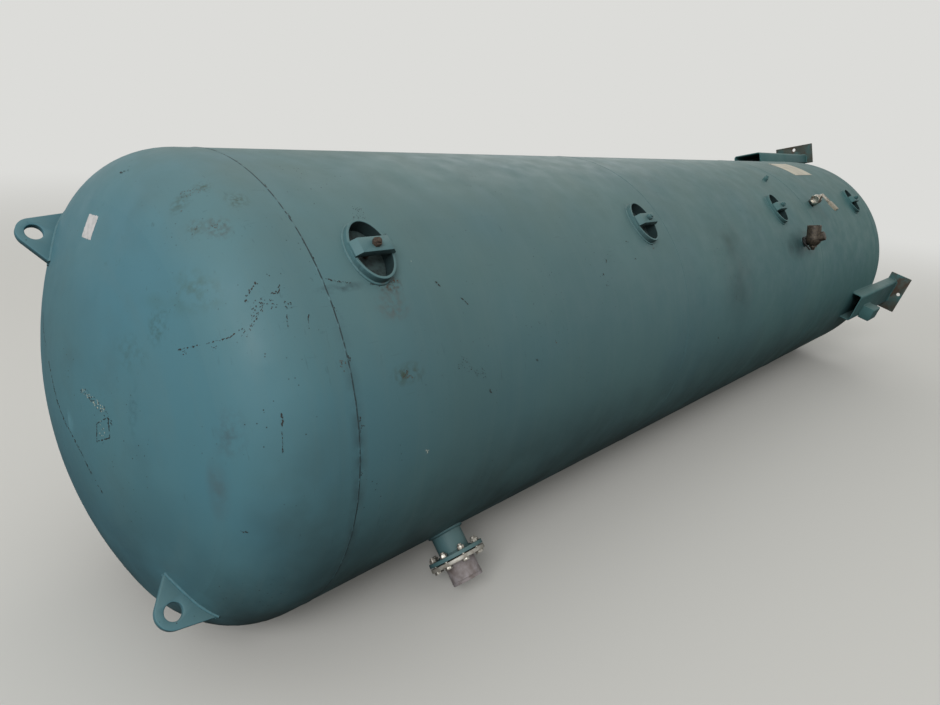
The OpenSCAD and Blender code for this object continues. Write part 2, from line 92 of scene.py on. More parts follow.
# Widths of the weld beads, and how far the corner of a fillet stands off the wall behind it
GIRTH_BEAD = LONG_BEAD = RING_BEAD = LEG_BEAD = 0.010
NECK_BEAD, LUG_BEAD = 0.018, 0.011
FLANGE_BEAD = DRAIN_BEAD = FOOT_BEAD = 0.009
BRACKET_BEAD = SIDE_VALVE_BEAD = 0.007
GAUGE_VALVE_BEAD = SOCKET_BEAD = 0.006
FILLET_OUT, NECK_FILLET_OUT = 0.001, 0.002
# How deep the seams between plates are sunk in the wall
GIRTH_SUNK, LONG_SUNK = 0.0040, 0.0038
# The long seams, on the side that is turned away, stop short of the girth welds
LONG_SEAMS = (-75.0, -150.0, -75.0)
LONG_SEAM_GAP = 0.006
LONG_SEAM_STEP = 0.006
# The fillets of a leg start a little in from its open end
LEG_SEAM_IN = 0.004
# A hand laid weld has ripples
RIPPLE_LONG, RIPPLE_DEEP = 0.009, 0.0016

# Threads are ridges wound round the last bit of a stud or bolt
THREAD_LONG, THREAD_SHORT_OF_TIP = 0.007, 0.001
THREAD_PITCH, THREAD_RIDGE, THREAD_CORNERS = 0.002, 0.0011, 14
# The burr round the stub, a little above its sawn end
BURR_BACK, BURR_OUT, BURR_BEAD = 0.011, 0.0002, 0.003
# The part of the gauge valve's lever that is in a sleeve
SLEEVE = 0.064

# Data plate, its rivets and the paper label
PLATE_X, PLATE_TURN, PLATE_SIZE, PLATE_THICK = 4.348, 15.0, (0.340, 0.209), 0.0015
RIVETS_ALONG, RIVETS_TURN = (-0.158, 0.158), (-7.0, 7.0)
RIVET_R, RIVET_FOOT, RIVET_EDGE = 0.0045, 0.0003, 0.0003
LABEL_OUT, LABEL_TURN, LABEL_SIZE, LABEL_THICK = 0.5365, -2.5, (0.067, 0.062), 0.0002
LABEL_TORN = 0.0022
# How far thin sheets and flakes lie above what is under them
LIFT = 0.0003
# Flakes of paint: how many forms and corners, their thickness, how far apart they are laid in
# their own length, and between what shares their corners and sizes vary
FLAKE_FORMS, FLAKE_CORNERS = 5, 9
FLAKE_THICK, FLAKES_APART = 0.0003, 0.40
CORNER_SHARE, SIZE_SHARE = (0.45, 1.15), (0.3, 1.1)

# Angles under which faces look as one: on plates, on solids with rounded edges, and on round beads
PLATE_SMOOTH, SOLID_SMOOTH, BEAD_SMOOTH = 30.0, 35.0, 60.0
# Edges sharper than this are rounded, and points nearer than this are one
SHARP = math.radians(42)
SAME_POINT = 0.00001


def unit(turn):
    """Direction out of the vessel at an angle from the top."""
    angle = math.radians(turn)
    return Vector((0, -math.sin(angle), math.cos(angle)))


def spot(along, out, turn):
    """A place on the vessel, in the frame of the part."""
    return unit(turn) * out + Vector((along - MIDDLE_X, -MIDDLE_Y, SHELL_R))


def axes_at(place, x_axis, y_axis, z_axis):
    """Matrix of a local frame at a place."""
    axes = Matrix((x_axis, y_axis, z_axis)).transposed().to_4x4()
    axes.translation = place
    return axes


def seat(along, out, turn):
    """Matrix of a local frame: Z outwards, X along the vessel, Y round it towards the top."""
    angle = math.radians(turn)
    up = Vector((0, math.cos(angle), math.sin(angle)))
    return axes_at(spot(along, out, turn), Vector((1, 0, 0)), up, unit(turn))


def on_shell(along, turn):
    """A place on the shell's surface and the direction out of it."""
    return spot(along, SHELL_R, turn), unit(turn)


def on_head(out, turn):
    """A place on the near end's surface and the direction out of it."""
    flat = SHELL_R - KNUCKLE_R
    if out > flat * CROWN_R / (CROWN_R - KNUCKLE_R):
        deep = math.sqrt(max(0.0, KNUCKLE_R**2 - (out - flat) ** 2))
        lean = Vector((deep, out - flat)).normalized()
    else:
        deep = math.sqrt(CROWN_R**2 - out**2) - CROWN_DROP
        lean = Vector((deep + CROWN_DROP, out)).normalized()
    return spot(-deep, out, turn), Vector((-lean[0], 0, 0)) + unit(turn) * lean[1]


def new_object(name, data):
    """A new object in the scene."""
    made = bpy.data.objects.new(name, data)
    bpy.context.scene.collection.objects.link(made)
    return made


# Camera, at the photographer's place and with the same field of view

camera = new_object("camera", bpy.data.cameras.new("camera"))
bpy.context.scene.camera = camera
camera.location = (-3.5972, -1.9290, 1.6708)
camera.rotation_euler = [math.radians(a) for a in (70.9438, -4.8949, -47.0511)]
camera.data.sensor_width = 36.0
camera.data.lens = 26.866
camera.data.clip_end = 800.0


# Materials


def tint(code):
    """Linear colour of an sRGB hex value."""
    parts = [int(code[i : i + 2], 16) / 255 for i in (0, 2, 4)]
    return [p / 12.92 if p <= 0.04045 else ((p + 0.055) / 1.055) ** 2.4 for p in parts] + [1.0]


def add(tree, kind, inputs=None, out=0, **settings):
    """Adds a node. An input is a value or another node's output; returns one of its outputs."""
    node = tree.nodes.new("ShaderNode" + kind)
    for key, value in settings.items():
        setattr(node, key, value)
    for key, value in (inputs or {}).items():
        if isinstance(value, bpy.types.NodeSocket):
            tree.links.new(value, node.inputs[key])
        else:
            node.inputs[key].default_value = value
    return node.outputs[out]


def finish(name, roughness, metallic=0.0):
    """A new material; returns it with its tree, its shader and the place on the piece."""
    made = bpy.data.materials.new(name)
    made.use_nodes = True
    tree = made.node_tree
    shader = tree.nodes["Principled BSDF"]
    shader.inputs["Roughness"].default_value = roughness
    shader.inputs["Metallic"].default_value = metallic
    return made, tree, shader, add(tree, "TexCoord", out="Object")


def clouds(tree, place, per_metre, low, high, top=1.0, detail=4.0, stretch=(1.0, 1.0, 1.0)):
    """Mask of soft clouds: 0 where the noise is under low and top where it is over high."""
    drawn = add(tree, "Mapping", {"Vector": place, "Scale": stretch})
    noise = add(
        tree, "TexNoise", {"Vector": drawn, "Scale": per_metre, "Detail": detail}, out="Fac"
    )
    return add(tree, "MapRange", {"Value": noise, "From Min": low, "From Max": high, "To Max": top})


def both(tree, *masks):
    """Mask that is there only where all the given ones are."""
    result = masks[0]
    for mask in masks[1:]:
        result = add(tree, "Math", {0: result, 1: mask}, operation="MULTIPLY")
    return result


def coats(tree, base, layers):
    """Lays colours over a base colour, each through its mask."""
    colour = tint(base)
    for code, mask in layers:
        colour = add(tree, "Mix", {0: mask, 6: colour, 7: tint(code)}, out=2, data_type="RGBA")
    return colour


# Smudges, with painted shade and a painted shadow among them: place, half sizes along X, Y and Z,
# colour and strength
SMUDGES_AND_SHADOWS = (
    (on_shell(0.270, 53.0), (0.055, 0.05, 0.030), "43352a", 0.85),
    (on_shell(0.255, 57.5), (0.070, 0.06, 0.055), "564c44", 0.45),
    (on_shell(0.250, 72.0), (0.070, 0.05, 0.035), "3c4a3d", 0.80),
    (on_shell(2.450, 55.0), (0.22, 0.20, 0.22), "30443f", 0.42),
    (on_shell(2.500, 72.0), (0.24, 0.20, 0.30), "2c4042", 0.52),
    # painted shadow of the side valve, a dark patch beside it on the shell
    (on_shell(3.340, 63.5), (0.17, 0.12, 0.09), "1f2f32", 0.90),
    (on_shell(0.115, 52.0), (0.10, 0.02, 0.016), "33454a", 0.60),
    (on_head(0.588, 89.5), (0.05, 0.04, 0.11), "4b4948", 0.60),
    (on_head(0.629, 76.4), (0.06, 0.05, 0.08), "465b62", 0.45),
    # painted shade: a wide soft dark patch low on the near end
    (on_head(0.735, 94.0), (0.16, 0.16, 0.32), "3a4a48", 0.55),
    (on_head(0.519, 46.1), (0.05, 0.04, 0.06), "36524c", 0.50),
    (on_head(0.567, 43.2), (0.05, 0.12, 0.03), "43605b", 0.50),
    (on_head(0.411, 47.2), (0.06, 0.08, 0.06), "436468", 0.50),
    (on_head(0.360, 67.2), (0.05, 0.02, 0.09), "375a62", 0.50),
    (on_head(0.647, 44.4), (0.07, 0.10, 0.06), "45605c", 0.55),
    (on_head(0.694, 31.5), (0.03, 0.03, 0.04), "45483a", 0.50),
    (on_head(0.720, 33.8), (0.04, 0.05, 0.04), "45423a", 0.60),
    (on_head(0.700, 23.5), (0.04, 0.03, 0.06), "3c4a3d", 0.60),
    (on_head(0.733, 22.2), (0.03, 0.03, 0.03), "3c4a3d", 0.55),
    (on_head(0.746, 28.5), (0.04, 0.04, 0.04), "3c4a3d", 0.60),
)
# A smudge wider than this is soft and a smaller one is speckled: how many clouds fit in its half
# size, and the levels of noise between which it fades in
WIDE_SMUDGE = 0.1
SOFT, SPECKLED = (1.6, 0.30, 0.76), (4.0, 0.42, 0.66)


def enamel(name, over_weld=False, rusted=0.0):
    """Alkyd enamel sprayed on rolled plate, years old: satin, with dust on top, scuffs and flecks.

    The eye gets a soft broad sheen, faint waves of the plate, and colour that drifts in clouds.
    """
    made, tree, shader, place = finish(name, 0.6)
    # dust takes away some of the shine that a clean coat has
    shader.inputs["Specular IOR Level"].default_value = 0.30
    normal = add(tree, "NewGeometry", out="Normal")
    upward = add(tree, "SeparateXYZ", {0: normal}, out="Z")
    along = add(tree, "SeparateXYZ", {0: place}, out="X")
    shell_light_tint = {"Value": along, "From Min": -MIDDLE_X - 0.25, "From Max": -MIDDLE_X + 0.45}
    far_light_tint = {"Value": along, "From Min": -1.0, "From Max": 2.2, "To Max": 0.8}
    faces_up = {"Value": upward, "From Min": 0.3, "From Max": 1.0, "To Max": 0.7}
    shade_below = {"Value": upward, "From Min": 0.0, "From Max": -0.7, "To Max": 0.85}
    layers = [
        # painted tint of the light, not of the paint: the shell greyer than the bluer-lit near end,
        # and the far part greener as under warmer light
        ("4a696d", add(tree, "MapRange", shell_light_tint)),
        ("366464", add(tree, "MapRange", far_light_tint)),
        # the coat has faded in clouds of about half a metre
        ("587a79", clouds(tree, place, 1.7, 0.42, 0.72, 0.35)),
        ("446873", clouds(tree, place, 2.4, 0.50, 0.78, 0.30, 2.0)),
        # dust lies on what faces up
        ("5f716d", both(
            tree,
            add(tree, "MapRange", faces_up),
            clouds(tree, place, 6.0, 0.05, 0.70, detail=6.0),
        )),
        # painted shade on what faces down, broken up in clouds
        ("243234", both(
            tree,
            add(tree, "MapRange", shade_below),
            clouds(tree, place, 5.0, 0.15, 0.60, detail=6.0),
        )),
        # runs and wipe marks round the vessel, about 15 mm wide
        ("5f7676", clouds(tree, place, 34.0, 0.50, 0.80, 0.16, 3.0, (1.0, 0.06, 0.06))),
        # scuffs about 3 mm wide, drawn out along the vessel and round it
        ("32474b", both(
            tree,
            clouds(tree, place, 110.0, 0.66, 0.80, 0.55, 3.0, (0.10, 1.0, 1.0)),
            clouds(tree, place, 3.1, 0.48, 0.62),
        )),
        ("32474b", both(
            tree,
            clouds(tree, place, 110.0, 0.66, 0.80, 0.45, 3.0, (1.0, 0.3, 0.10)),
            clouds(tree, place, 2.7, 0.48, 0.62),
        )),
        # faint hand and sling dirt, 60 to 150 mm
        ("465c5f", both(
            tree,
            clouds(tree, place, 8.0, 0.50, 0.80, 0.35, 5.0),
            clouds(tree, place, 1.9, 0.50, 0.70),
        )),
    ]
    # cracked paint and dirt in the near girth weld, with soft grime beside it low down
    ahead = add(tree, "Math", {0: along, 1: GIRTH_WELDS[0] - MIDDLE_X}, operation="SUBTRACT")
    apart = add(tree, "Math", {0: ahead}, operation="ABSOLUTE")
    in_weld = {"Value": apart, "From Min": 0.0030, "From Max": 0.0012, "To Max": 0.95}
    crack = both(tree, add(tree, "MapRange", in_weld), clouds(tree, place, 60.0, 0.36, 0.50))
    layers.append(("1d2829", crack))
    beside = {"Value": apart, "From Min": 0.030, "From Max": 0.004, "To Max": 0.6}
    low_down = {"Value": upward, "From Min": 0.6, "From Max": 0.1}
    layers.append(("33454a", both(
        tree,
        add(tree, "MapRange", beside),
        add(tree, "MapRange", low_down),
        clouds(tree, place, 18.0, 0.35, 0.62),
    )))
    for (centre, _), half, code, strength in SMUDGES_AND_SHADOWS:
        moved = add(
            tree, "Mapping", {"Vector": place, "Location": centre, "Scale": half},
            vector_type="TEXTURE",
        )
        around = add(tree, "TexGradient", {"Vector": moved}, out="Fac", gradient_type="SPHERICAL")
        edge = add(tree, "MapRange", {"Value": around, "To Max": 1.5 * strength})
        fitted, low, high = SOFT if max(half) > WIDE_SMUDGE else SPECKLED
        torn = clouds(tree, place, fitted / max(half), low, high, detail=8.0)
        layers.append((code, both(tree, edge, torn)))
    # flecks of 2 to 5 mm where the coat is gone
    cells = add(tree, "TexVoronoi", {"Vector": place, "Scale": 48.0}, out="Distance")
    fleck = add(tree, "MapRange", {"Value": cells, "From Min": 0.11, "From Max": 0.06})
    layers.append(("26302f", both(tree, fleck, clouds(tree, place, 4.0, 0.50, 0.60, detail=3.0))))
    # painted shade on the walls that face into a hand hole, where the recess lies in shadow
    for hole_x in HAND_HOLES:
        centre = on_shell(hole_x, HAND_HOLE_TURN)[0]
        from_hole = add(tree, "VectorMath", {0: place, 1: centre}, operation="SUBTRACT")
        distance = add(tree, "VectorMath", {0: from_hole}, out="Value", operation="LENGTH")
        near = add(tree, "Math", {0: distance, 1: HOLE_SHADE_REACH}, operation="LESS_THAN")
        facing = add(
            tree, "VectorMath", {0: from_hole, 1: normal}, out="Value", operation="DOT_PRODUCT"
        )
        shaded_wall = {"Value": facing, "From Min": -0.025, "From Max": -0.05, "To Max": 0.85}
        layers.append(("1c2728", both(tree, near, add(tree, "MapRange", shaded_wall))))
    if over_weld:
        layers.append(("3b5358", clouds(tree, place, 60.0, 0.45, 0.75, 0.4)))
    if rusted:
        layers.append(("504c42", clouds(tree, place, 9.0, 0.34, 0.52, rusted, 5.0)))
        layers.append(("4b3a2e", clouds(tree, place, 16.0, 0.48, 0.60, rusted, 6.0)))
    tree.links.new(coats(tree, "4b7885", layers), shader.inputs["Base Color"])

    cloudy = add(tree, "TexNoise", {"Vector": place, "Scale": 12.0, "Detail": 5.0}, out="Fac")
    rough = {"Value": cloudy, "From Min": 0.3, "From Max": 0.8, "To Min": 0.50, "To Max": 0.70}
    tree.links.new(add(tree, "MapRange", rough), shader.inputs["Roughness"])

    # waves of the rolled plate, 3 mm deep and half a metre long, under orange peel of about 4 mm
    wave = add(tree, "TexNoise", {"Vector": place, "Scale": 2.2, "Detail": 1.0}, out="Fac")
    peel = add(tree, "TexNoise", {"Vector": place, "Scale": 240.0, "Detail": 2.0}, out="Fac")
    waved = add(tree, "Bump", {"Height": wave, "Distance": 0.0 if over_weld else 0.003})
    relief = add(tree, "Bump", {"Height": peel, "Distance": 0.00012, "Normal": waved})
    tree.links.new(relief, shader.inputs["Normal"])
    return made


def bare(name, code, dirt, metallic, roughness, per_metre, depth=0.00005):
    """A finish with cloudy dirt or rust in it, and a fine grain of the given depth."""
    made, tree, shader, place = finish(name, roughness, metallic)
    dirty = clouds(tree, place, per_metre, 0.42, 0.66, 0.9, 6.0)
    tree.links.new(coats(tree, code, [(dirt, dirty)]), shader.inputs["Base Color"])
    grain = add(
        tree, "TexNoise", {"Vector": place, "Scale": 6 * per_metre, "Detail": 3.0}, out="Fac"
    )
    relief = add(tree, "Bump", {"Height": grain, "Distance": depth})
    tree.links.new(relief, shader.inputs["Normal"])
    return made


teal = enamel("sprayed_teal_enamel")
weld_teal = enamel("teal_enamel_over_weld", over_weld=True)
worn_teal = enamel("teal_enamel_worn_to_rust", rusted=0.75)

FINISHES = {
    "teal_paint": teal,
    # the enamel inside the hand holes is thin and dirty, and reads as dark grey green
    "cover_paint": bare("thin_enamel_on_pressed_cover", "3a4c4c", "20292a", 0.0, 0.65, 60.0),
    # matt brown rust with darker scale
    "rusty_steel": bare("rusted_carbon_steel", "4f4237", "27211c", 0.1, 0.8, 150.0, 0.00008),
    # dead black edge of the jointing sheet
    "gasket_rubber": bare("black_rubber_sheet", "1a1a1a", "2c2a27", 0.0, 0.85, 80.0),
    # cool grey with a dull blurred shine and brown dirt
    "zinc_plate": bare("dull_galvanised_steel", "aaa8a0", "857e73", 0.3, 0.5, 60.0),
    # grey primer that lets brown rust through
    "cut_pipe": bare("grey_primer_on_pipe", "8e888a", "665c58", 0.0, 0.7, 30.0, 0.0001),
    # bright zinc with brown dirt on it
    "bolt_steel": bare("zinc_plated_bolt_steel", "b2b0a8", "6a6055", 0.7, 0.4, 160.0),
    # brown cast bronze with dirt in its pits
    "brown_bronze": bare("weathered_cast_bronze", "4a4237", "221d19", 0.35, 0.55, 110.0, 0.0003),
    # nearly black skin of the pipe mill, with a faint shine
    "dark_steel": bare("black_steel_pipe", "2b2c2b", "161413", 0.4, 0.55, 90.0),
    # bright worn plating, with brass and grime showing in patches
    "plated_brass": bare("worn_nickel_plated_brass", "c9c4ba", "7a7060", 0.95, 0.28, 100.0),
}
slot_of = {part["node"]: part["material_slot"] for part in frame["record"]["subparts"]}
finish_of = {name: FINISHES[slot] for name, slot in slot_of.items()}
# the enamel of the foot plates is worn down to rust
for number in (1, 2, 3):
    finish_of[f"foot_plate_{number}"] = worn_teal
for name, material in finish_of.items():
    nodes[name].data.materials.clear()
    nodes[name].data.materials.append(material)

# bare steel in a chip: nearly black, with a little rust
chipped = bare("bare_steel_in_chipped_paint", "262a29", "322c26", 0.2, 0.7, 200.0)
# chalk dust rubbed on the paint
chalk = bare("rubbed_chalk", "a9b1a6", "7f9292", 0.0, 0.9, 120.0)
# brown rust stain in the paint
stain = bare("rust_stain_on_enamel", "56402f", "39362e", 0.0, 0.8, 120.0)
# paper label gone grey and matt
paper = bare("weathered_paper_label", "cac8c8", "b4b4b4", 0.0, 0.8, 60.0)
# cream enamelled plate, faded by the sun
cream = bare("faded_cream_enamel_plate", "bab5a4", "a59f91", 0.0, 0.55, 12.0)
# pale soft sleeve on the lever
sleeve = bare("faded_vinyl_sleeve", "a39c8b", "857e70", 0.0, 0.6, 90.0)


# Making pieces


def pick(piece):
    """Makes a piece the only one that operators act on."""
    bpy.ops.object.select_all(action="DESELECT")
    piece.select_set(True)
    bpy.context.view_layer.objects.active = piece


@contextmanager
def shaping(chosen=None):
    """Edit mode on the active piece, with the chosen points selected, or all of them."""
    bpy.ops.object.mode_set(mode="EDIT")
    bpy.ops.mesh.select_mode(type="VERT")
    bpy.ops.mesh.select_all(action="SELECT" if chosen is None else "DESELECT")
    if chosen:
        bpy.ops.object.mode_set(mode="OBJECT")
        for point in chosen:
            bpy.context.object.data.vertices[point].select = True
        bpy.ops.object.mode_set(mode="EDIT")
    yield
    bpy.ops.object.mode_set(mode="OBJECT")


def settle(piece):
    """Puts a piece's place, turn and scale in its mesh."""
    pick(piece)
    bpy.ops.object.transform_apply(location=True, rotation=True, scale=True)


def own(piece, name, material, smooth=PLATE_SMOOTH):
    """Names a finished piece, puts its place in its mesh and lets it ride on the vessel."""
    settle(piece)
    bpy.ops.object.shade_smooth_by_angle(angle=math.radians(smooth))
    piece.name = name
    piece.data.name = name
    piece.data.materials.clear()
    piece.data.materials.append(material)
    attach(piece, "root")


def join(pieces):
    """Joins pieces into the first one."""
    pick(pieces[0])
    for piece in pieces[1:]:
        piece.select_set(True)
    bpy.ops.object.join()
    return bpy.context.object


def copy_of(piece, place):
    """A copy with its own mesh, at a place given by a matrix."""
    copy = piece.copy()
    copy.data = piece.data.copy()
    copy.matrix_world = place
    bpy.context.scene.collection.objects.link(copy)
    return copy


def spread(piece, moves):
    """A piece, with its place put in its mesh, and a copy of it for each move."""
    settle(piece)
    return [piece] + [copy_of(piece, move) for move in moves]


def names_of(name, moves):
    """Names of a piece and of its copies: they are numbered if there are any copies."""
    return [f"{name}_{number + 1}" for number in range(len(moves) + 1)] if moves else [name]


def modify(piece, kind, **settings):
    """Adds a modifier and applies it."""
    pick(piece)
    modifier = piece.modifiers.new(kind.lower(), kind)
    for key, value in settings.items():
        setattr(modifier, key, value)
    bpy.ops.object.modifier_apply(modifier=modifier.name)


def bead(points, width, closed=False):
    """A round bead laid along points."""
    line = bpy.data.curves.new("bead", "CURVE")
    line.dimensions = "3D"
    spline = line.splines.new("POLY")
    spline.points.add(len(points) - 1)
    for point, at in zip(spline.points, points):
        point.co = (*at, 1.0)
    spline.use_cyclic_u = closed
    line.bevel_depth = width / 2
    line.bevel_resolution = 2
    line.use_fill_caps = not closed
    pick(new_object("bead", line))
    bpy.ops.object.convert(target="MESH")
    # its end caps are loose, and are joined to the tube
    with shaping():
        bpy.ops.mesh.remove_doubles(threshold=SAME_POINT)
    return bpy.context.object


ripple = bpy.data.textures.new("weld_ripple", "CLOUDS")
ripple.noise_scale = RIPPLE_LONG


def weld(name, beads, moves=()):
    """Joins beads into one painted weld with ripples, and makes a copy of it for each move."""
    piece = join(beads)
    modify(
        piece, "DISPLACE", texture=ripple, texture_coords="GLOBAL", strength=RIPPLE_DEEP,
        mid_level=0.5,
    )
    for made, its_name in zip(spread(piece, moves), names_of(name, moves)):
        own(made, its_name, weld_teal, BEAD_SMOOTH)


def slide(along):
    """Matrix that moves a piece along the vessel."""
    return Matrix.Translation((along, 0, 0))


def swing(turn):
    """Matrix that turns a piece round the vessel's axis."""
    axis = Matrix.Translation(spot(MIDDLE_X, 0, 0))
    return axis @ Matrix.Rotation(math.radians(turn), 4, "X") @ axis.inverted()


def saddle(along, turn, half_up, half_along, width, steps=96):
    """A bead round an oval or round fitting, where it meets the round shell."""
    here = seat(along, 0, turn)
    points = []
    for step in range(steps):
        angle = 2 * math.pi * step / steps
        u, v = half_along * math.cos(angle), half_up * math.sin(angle)
        points.append(here @ Vector((u, v, math.sqrt(SHELL_R**2 - v**2))))
    return bead(points, width, closed=True)


# Girth welds between the plates and the ends
bpy.ops.object.select_all(action="DESELECT")
bpy.ops.mesh.primitive_torus_add(
    major_radius=SHELL_R - GIRTH_SUNK, minor_radius=GIRTH_BEAD / 2,
    major_segments=480, minor_segments=10,
    location=spot(GIRTH_WELDS[0], 0, 0), rotation=(0, math.pi / 2, 0),
)
girth_moves = [slide(along - GIRTH_WELDS[0]) for along in GIRTH_WELDS[1:]]
weld("girth_weld", [bpy.context.object], girth_moves)

# One long seam to each rolled plate, staggered
for number, turn in enumerate(LONG_SEAMS):
    start = GIRTH_WELDS[number] + LONG_SEAM_GAP
    length = GIRTH_WELDS[number + 1] - LONG_SEAM_GAP - start
    steps = int(length / LONG_SEAM_STEP)
    line = [start + length * k / steps for k in range(steps + 1)]
    points = [spot(along, SHELL_R - LONG_SUNK, turn) for along in line]
    weld(f"long_seam_{number + 1}", [bead(points, LONG_BEAD)])

hole_moves = [slide(hole_x - HAND_HOLES[0]) for hole_x in HAND_HOLES[1:]]
ring_bead = saddle(
    HAND_HOLES[0], HAND_HOLE_TURN, RING_A + FILLET_OUT, RING_B + FILLET_OUT, RING_BEAD
)
weld("hand_hole_welds", spread(ring_bead, hole_moves))
neck = OUTLET_R + NECK_FILLET_OUT
weld("outlet_weld", [saddle(OUTLET_X, OUTLET_TURN, neck, neck, NECK_BEAD)])
weld("fitting_welds", [
    saddle(*SIDE_VALVE, SIDE_NIPPLE_R, SIDE_NIPPLE_R, SIDE_VALVE_BEAD, 48),
    saddle(*GAUGE_VALVE, GAUGE_NIPPLE_R, GAUGE_NIPPLE_R, GAUGE_VALVE_BEAD, 48),
    saddle(*SOCKET, SOCKET_R, SOCKET_R, SOCKET_BEAD, 36),
])


def ring_of(centre, across, up, radius, width):
    """A bead in a flat circle round a centre."""
    steps = 64
    angles = [2 * math.pi * k / steps for k in range(steps)]
    points = [centre + (across * math.cos(a) + up * math.sin(a)) * radius for a in angles]
    return bead(points, width, closed=True)


back = seat(OUTLET_X, SHELL_R + FLANGE_BACK - FILLET_OUT, OUTLET_TURN)
x_way, y_way = back.to_3x3().col[0], back.to_3x3().col[1]
weld("flange_weld", [ring_of(back.translation, x_way, y_way, neck, FLANGE_BEAD)])

sawn = spot(OUTLET_X, SHELL_R + STUB_END - BURR_BACK, OUTLET_TURN)
burr = ring_of(sawn, x_way, y_way, OUTLET_R + BURR_OUT, BURR_BEAD)
own(burr, "stub_lip", FINISHES["cut_pipe"], BEAD_SMOOTH)

far_middle = spot(FAR_TANGENT + CROWN_R - CROWN_DROP, 0, 0)
weld("drain_weld", [ring_of(far_middle, unit(0), unit(90), DRAIN_R + FILLET_OUT, DRAIN_BEAD)])


def channel_sides(turn):
    """Fillets along both flanges of a leg, from its open end to where it leaves the shell."""
    here = seat(0, 0, turn)
    height = math.sqrt(SHELL_R**2 - LEG_HALF**2)
    start, steps = LEG_START + LEG_SEAM_IN, 80
    line = [start + (FAR_TANGENT - LEG_START) * k / steps for k in range(steps + 1)]
    beads = []
    for side in (-LEG_HALF - FILLET_OUT, LEG_HALF + FILLET_OUT):
        beads.append(bead([here @ Vector((along, side, height)) for along in line], LEG_BEAD))
    return beads


def seam_round(place, corners, steps, width):
    """A bead in straight runs from corner to corner, each run in a number of steps."""
    points = []
    for start, end in zip(corners, corners[1:]):
        for k in range(steps):
            points.append(place @ Vector([a + (b - a) * k / steps for a, b in zip(start, end)]))
    return bead(points, width)


def foot_seam(turn):
    """Fillet round the outside of a leg where its foot plate is welded on."""
    half, top = LEG_HALF + FILLET_OUT, LEG_WEB + FILLET_OUT
    corners = (
        (0, -half, LEG_LIP), (0, -half, top - LEG_BEND), (0, -half + LEG_BEND, top),
        (0, half - LEG_BEND, top), (0, half, top - LEG_BEND), (0, half, LEG_LIP),
    )
    return seam_round(seat(LEG_END - FILLET_OUT, 0, turn), corners, 12, FOOT_BEAD)


def bracket_seam():
    """Fillet round the bracket on the second leg, where it stands on the flat of the web."""
    start, end = BRACKET_START - FILLET_OUT, BRACKET_END + FILLET_OUT
    corners = (
        (start, BRACKET_BEND, LEG_WEB), (start, BRACKET_IN, LEG_WEB),
        (end, BRACKET_IN, LEG_WEB), (end, BRACKET_BEND, LEG_WEB),
    )
    return seam_round(seat(0, 0, LEG_TURNS[1]), corners, 20, BRACKET_BEAD)


def lug_sides(turn):
    """Fillets on both sides of a lug, along the curve of the near end."""
    way = seat(0, 0, turn).to_3x3().col[1]
    steps = 40
    curve = [
        on_head(LUG_IN + (LUG_OUT - LUG_IN) * k / steps, turn)[0] for k in range(steps + 1)
    ]
    beads = []
    for side in (-1, 1):
        aside = way * side * (LUG_HALF + FILLET_OUT)
        beads.append(bead([point + aside for point in curve], LUG_BEAD))
    return beads


leg_beads = channel_sides(LEG_TURNS[0]) + [foot_seam(LEG_TURNS[0])]
leg_moves = [swing(turn - LEG_TURNS[0]) for turn in LEG_TURNS[1:]]
weld("leg_welds", leg_beads, leg_moves)
weld("bracket_welds", [bracket_seam()])
lug_moves = [swing(LUG_TURNS[1] - LUG_TURNS[0])]
weld("lug_welds", lug_sides(LUG_TURNS[0]), lug_moves)


def softened(name, edge, moves=()):
    """Stands for solids of one form, their sharp edges rounded as grinding and paint do.

    The first one is shaped, and the moves take its copies to where the others are.
    """
    names = names_of(name, moves)
    piece = new_object(names[0], nodes[names[0]].data.copy())
    pick(piece)
    # loose triangles become whole faces, so that only real edges are rounded
    with shaping():
        bpy.ops.mesh.remove_doubles(threshold=2 * SAME_POINT)
        bpy.ops.mesh.dissolve_limited(angle_limit=math.radians(0.6))
    modify(piece, "BEVEL", width=edge, segments=2, limit_method="ANGLE", angle_limit=SHARP)
    for made, node in zip(spread(piece, moves), names):
        own(made, node + "_softened", finish_of[node], SOLID_SMOOTH)
        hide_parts(node)


# How much each kind of edge is rounded, from cut plate down to a nut's corners
for name, edge, moves in (
    ("leg", 0.002, leg_moves),
    ("foot_plate", 0.002, leg_moves),
    ("lifting_lug", 0.003, lug_moves),
    ("hand_hole_ring", 0.0018, hole_moves),
    ("hand_hole_bridge", 0.0022, hole_moves),
    ("hand_hole_stud", 0.0008, hole_moves),
    ("leg_bracket", 0.002, ()),
    ("outlet_flange", 0.0015, ()),
    ("outlet_loose_flange", 0.0015, ()),
    ("outlet_bolts", 0.0008, ()),
    ("side_valve_body", 0.002, ()),
    ("side_valve_nipple", 0.001, ()),
    ("side_valve_lever", 0.001, ()),
    ("gauge_valve_body", 0.0015, ()),
    ("gauge_valve_lever", 0.0008, ()),
    ("instrument_socket", 0.001, ()),
    ("drain_socket", 0.0015, ()),
):
    softened(name, edge, moves)

# The outer part of the gauge valve's lever is in a pale sleeve
lever = bpy.data.objects["gauge_valve_lever_softened"]
lever.data.materials.append(sleeve)
sleeve_end = min(vertex.co.y for vertex in lever.data.vertices) + SLEEVE
for face in lever.data.polygons:
    face.material_index = 1 if face.center.y < sleeve_end else 0


def threads(place, radius, low, high):
    """Thread on the end of a stud or bolt: a fine ridge wound round it."""
    steps = int(THREAD_CORNERS * (high - low) / THREAD_PITCH)
    points = []
    for k in range(steps + 1):
        angle = 2 * math.pi * k / THREAD_CORNERS
        height = low + THREAD_PITCH * k / THREAD_CORNERS
        points.append(place @ Vector((radius * math.cos(angle), radius * math.sin(angle), height)))
    return bead(points, THREAD_RIDGE)


